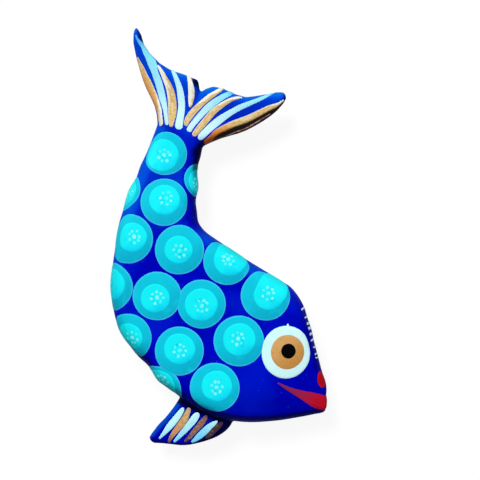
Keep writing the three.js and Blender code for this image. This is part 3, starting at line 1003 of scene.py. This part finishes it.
def pale_paint(name, tip, first, last):
    """A pale blue: the colour of its tip, then the first colour, then the last where the stroke ends."""
    paint = Paint(name, first)
    streaks = paint.own_grain(2.4, stretch=4.0, detail=4.0)
    _, sooner = paint.attribute("stroke")
    paint.coat(last, paint.sum((paint.along, 0.9), (streaks, 0.7), (sooner, 0.8)), 0.4, 1.3)
    paint.coat((206, 252, 254), sooner, 0.3, 0.6, 0.5)
    paint.coat((104, 212, 250), streaks, 0.58, 0.75, 0.35)
    at_tip = paint.times(paint.step(paint.along, 0.2, 0.03, 0.8), paint.step(sooner, 0.4, 0.1))
    paint.over(tip, at_tip)
    return paint.finish(0.12)


def gold_paint():
    """Gold over a pale ground, which shows where the stroke starts and along one edge.

    A stroke with painted shade is amber along its other edge. The most shaded one is painted dark there, as
    shade, and brown at its end.
    """
    paint = Paint("gold_paint", (200, 164, 98), roughness=0.55, gloss=0.08)
    grains = paint.grain(paint.place, 1500.0, 4.0)
    patches = paint.own_grain(2.0, stretch=4.0, detail=3.0)
    from_start, wear_and_shade = paint.attribute("stroke")
    most_shaded = paint.step(wear_and_shade, 0.5, 0.9)
    paint.coat((228, 198, 134), grains, 0.38, 0.62)
    paint.coat((150, 112, 70), grains, 0.58, 0.70, 0.6)
    paint.coat((236, 224, 192), patches, 0.5, 0.70, 0.65)
    uneven = paint.sum((paint.across, 1.0), (patches, 0.3))
    # Painted shade, in amber, along the other edge of a partly shaded stroke.
    amber = paint.times(paint.step(paint.along, 0.08, 0.3), paint.step(paint.along, 0.85, 0.55, 0.85))
    amber = paint.times(amber, paint.times(paint.step(wear_and_shade, 0.0, 0.35), paint.step(wear_and_shade, 0.9, 0.5)))
    paint.over((220, 152, 78), paint.times(amber, paint.step(uneven, -0.7, 0.3)))
    ground = paint.sum((from_start, -0.09), (paint.across, -0.45), (patches, 1.2), (wear_and_shade, -0.45))
    paint.coat((240, 240, 222), ground, -0.1, 0.3)
    paint.coat((236, 230, 206), uneven, -0.55, -0.8, 0.6)
    # Painted shade on the most shaded stroke: brown towards its foot, near black along its outer edge.
    foot = paint.sum((paint.along, 1.0), (paint.across, 0.1), (patches, 0.25))
    brown = paint.blend(paint.step(foot, 0.78, 1.0), (204, 122, 44), (180, 80, 18))
    paint.over(brown, paint.times(paint.step(foot, 0.55, 0.82, 0.95), most_shaded))
    edge = paint.sum((uneven, 1.0), (paint.step(paint.along, 0.8, 0.97), -1.4))
    paint.over((10, 4, 3), paint.times(paint.step(edge, -0.25, 0.1), most_shaded))
    return paint.finish(0.2)


def rim_paint():
    paint = Paint("worn_rim_paint", (206, 160, 150))
    paint.coat((140, 90, 80), paint.grain(paint.place, 900.0, 3.0), 0.4, 0.6)
    return paint.finish(0.2)


def ochre_paint():
    """The gold of the ventral fin, pinkish where its stroke starts and brown where it ends."""
    paint = Paint("ochre_paint", (186, 150, 88))
    grains = paint.grain(paint.place, 1500.0, 4.0)
    uneven_along = paint.sum((paint.along, 1.0), (paint.own_grain(2.0, stretch=4.0), 0.3))
    paint.coat((216, 182, 112), grains, 0.36, 0.64)
    paint.coat((186, 152, 158), uneven_along, 0.34, 0.16, 0.8)
    paint.coat((204, 146, 108), uneven_along, 0.55, 0.85, 0.8)
    paint.coat((112, 78, 86), uneven_along, 0.85, 1.15, 0.9)
    return paint.finish(0.2)


def brown_paint():
    """Two browns, the second stroke's darker as painted shade, with bare specks and darker ends."""
    paint = Paint("brown_paint", (146, 108, 88))
    grains = paint.grain(paint.place, 1400.0, 4.0)
    uneven_along = paint.sum((paint.along, 1.0), (grains, 0.4))
    # Painted shade: the second stroke, towards the fin's front, darker.
    paint.over((104, 58, 50), paint.number)
    paint.coat((78, 48, 50), grains, 0.50, 0.66, 0.8)
    paint.coat((184, 150, 134), grains, 0.44, 0.34, 0.7)
    paint.coat((92, 50, 78), uneven_along, 0.45, 0.2, 0.8)
    paint.coat((62, 56, 64), uneven_along, 0.85, 1.2, 0.8)
    # Painted shade: the second stroke darker again.
    paint.over((34, 36, 56), paint.times(paint.number, 0.6))
    return paint.finish(0.2)


def peg_wood():
    paint = Paint("bare_wood", (214, 178, 126), roughness=0.7, gloss=0.2)
    rings = paint.add("TexWave", {"Vector": paint.place, "Scale": 260.0, "Distortion": 4.0, "Detail": 3.0})
    paint.over((188, 146, 94), rings.outputs["Fac"])
    paint.coat((150, 110, 66), paint.grain(paint.place, 2500.0), 0.55, 0.75, 0.5)
    return paint.finish(0.3, 2500.0)


def dress(piece, material):
    piece.data.materials.clear()
    piece.data.materials.append(material)


def finish_piece(piece, material):
    """Turn a piece's faces outwards and give it its shading, its material and its place in the model."""
    edit_all(piece, face_outward)
    pick(piece)
    bpy.ops.object.shade_smooth_by_angle(angle=PAINT_CREASE)
    dress(piece, material)
    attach(piece, "root")


# The table, the lights and the camera

TABLE_SIZE = 3
TABLE_GAP = 0.05 * MM
# The table's grey as it lights the fish, and its grey and its glow as it is seen
TABLE_GREY = (0.2, 0.2, 0.2, 1)
SEEN_TABLE_GREY = (0.12, 0.12, 0.12, 1)
SEEN_TABLE_GLOW = 0.9
TABLE_ROUGHNESS = 0.9
VIEW_WIDTH = 144 * MM
FILM_WIDTH = 36
NEAREST_SEEN = 0.01
FARTHEST_SEEN = 10
KEY_WAY = Vector((-0.33, 0.57, 0.8))
KEY_STRENGTH = 2.75
KEY_SOFTNESS = 22
FILL_WAY = Vector((0.85, 0.1, 0.5))
FILL_STRENGTH = 0.9
FILL_SOFTNESS = 60
ROOM_STRENGTH = 0.18


def seen_ray(tree):
    """1 for a ray that shows the background, also in gloss or glass, and 0 for one that only lights."""
    outputs = tree.nodes.new("ShaderNodeLightPath").outputs
    seen = outputs["Is Camera Ray"]
    for name in ("Is Glossy Ray", "Is Transmission Ray"):
        larger = tree.nodes.new("ShaderNodeMath")
        larger.operation = "MAXIMUM"
        tree.links.new(seen, larger.inputs[0])
        tree.links.new(outputs[name], larger.inputs[1])
        seen = larger.outputs[0]
    return seen


def lay_table():
    deselect()
    bpy.ops.mesh.primitive_plane_add(size=TABLE_SIZE, location=(0, 0, cad_bounds[0].z - TABLE_GAP))
    table = bpy.context.active_object
    table.name = "table"
    material = bpy.data.materials.new("white_table")
    material.use_nodes = True
    nodes = material.node_tree.nodes
    link = material.node_tree.links.new
    shader = nodes["Principled BSDF"]
    shader.inputs["Base Color"].default_value = TABLE_GREY
    shader.inputs["Roughness"].default_value = TABLE_ROUGHNESS
    shader.inputs["Specular IOR Level"].default_value = 0
    white = nodes.new("ShaderNodeBsdfDiffuse")
    white.inputs["Color"].default_value = SEEN_TABLE_GREY
    glow = nodes.new("ShaderNodeEmission")
    glow.inputs["Strength"].default_value = SEEN_TABLE_GLOW
    seen = nodes.new("ShaderNodeAddShader")
    link(white.outputs[0], seen.inputs[0])
    link(glow.outputs[0], seen.inputs[1])
    mix = nodes.new("ShaderNodeMixShader")
    link(seen_ray(material.node_tree), mix.inputs[0])
    link(shader.outputs[0], mix.inputs[1])
    link(seen.outputs[0], mix.inputs[2])
    link(mix.outputs[0], nodes["Material Output"].inputs["Surface"])
    table.data.materials.append(material)


def hang_lamp(name, way, strength, softness):
    light = bpy.data.lights.new(name, "SUN")
    light.energy = strength
    light.angle = math.radians(softness)
    lamp = bpy.data.objects.new(name, light)
    bpy.context.scene.collection.objects.link(lamp)
    lamp.rotation_euler = way.to_track_quat("Z", "Y").to_euler()


def set_lights():
    hang_lamp("key", KEY_WAY, KEY_STRENGTH, KEY_SOFTNESS)
    hang_lamp("fill", FILL_WAY, FILL_STRENGTH, FILL_SOFTNESS)
    world = bpy.data.worlds.new("studio")
    bpy.context.scene.world = world
    world.use_nodes = True
    nodes = world.node_tree.nodes
    link = world.node_tree.links.new
    background = nodes["Background"]
    background.inputs["Color"].default_value = (1, 1, 1, 1)
    strength = nodes.new("ShaderNodeMapRange")
    strength.inputs["To Min"].default_value = ROOM_STRENGTH
    strength.inputs["To Max"].default_value = 1.0
    link(seen_ray(world.node_tree), strength.inputs["Value"])
    link(strength.outputs["Result"], background.inputs["Strength"])


def set_camera():
    camera = bpy.data.cameras.new("camera")
    camera.sensor_width = FILM_WIDTH
    camera.lens = FILM_WIDTH * VIEW_HEIGHT / VIEW_WIDTH
    camera.clip_start = NEAREST_SEEN
    camera.clip_end = FARTHEST_SEEN
    holder = bpy.data.objects.new("camera", camera)
    bpy.context.scene.collection.objects.link(holder)
    holder.location = VIEW_MIDDLE + Vector((0, 0, VIEW_HEIGHT))
    bpy.context.scene.camera = holder


# The fish, from the wood up to the last stroke

set_camera()
wood, surface = carved_pieces()
blue = blue_paint()
for piece in wood:
    dress(piece, blue)
bare_wood = peg_wood()
for name in ("tail_peg_1", "tail_peg_2", "fin_peg_1", "fin_peg_2"):
    dress(frame["nodes"][name], bare_wood)

disc, rings, hearts, dots = paint_scales(surface)
finish_piece(rings, ring_paint())
finish_piece(hearts, heart_paint())
finish_piece(dots, dot_paint())
whites, irises, pupils = paint_eyes(surface, disc)
finish_piece(whites, eye_white_paint())
finish_piece(irises, amber_paint())
finish_piece(pupils, black_paint())
nostril_red = red_paint("nostril_paint", (176, 10, 22), (192, 12, 24))
finish_piece(paint_nostrils(surface, disc), nostril_red)
bpy.data.objects.remove(disc)
mouth_red = red_paint("mouth_paint", (122, 40, 88), (184, 8, 34))
finish_piece(paint_mouth(surface), mouth_red)

tail_gold = paint_strokes(surface, TAIL_GOLD, "tail_gold_strokes", marks=TAIL_GOLD_WEAR_AND_SHADE)
finish_piece(tail_gold, gold_paint())
tail_rim = paint_strokes(surface, TAIL_RIM, "tail_rim_strokes", RIM_STROKE_RISE)
finish_piece(tail_rim, rim_paint())
fin_gold = paint_strokes(surface, FIN_GOLD, "fin_gold_strokes")
finish_piece(fin_gold, ochre_paint())
fin_brown = paint_strokes(surface, FIN_BROWN, "fin_brown_strokes")
finish_piece(fin_brown, brown_paint())
tail_pale = paint_strokes(surface, TAIL_PALE, "tail_pale_strokes", PALE_STROKE_RISE, TAIL_PALE_ONWARD)
# The tail's pale strokes start in a bright blue at the tip, a painted highlight.
tail_blue = pale_paint("tail_pale_paint", (44, 156, 244), (124, 226, 248), (196, 238, 250))
finish_piece(tail_pale, tail_blue)
fin_pale = paint_strokes(surface, FIN_PALE, "fin_pale_strokes", PALE_STROKE_RISE, FIN_PALE_ONWARD)
fin_blue = pale_paint("fin_pale_paint", (200, 254, 255), (200, 254, 255), (120, 214, 252))
finish_piece(fin_pale, fin_blue)
dab_white = (228, 247, 255)
dab_paint = pale_paint("dab_paint", dab_white, dab_white, dab_white)
finish_piece(paint_dabs(surface), dab_paint)
finish_piece(paint_strokes(surface, EYE_SLIPS, "eye_slips"), dab_paint)
lay_table()
set_lights()
bpy.context.scene.view_settings.view_transform = "Standard"
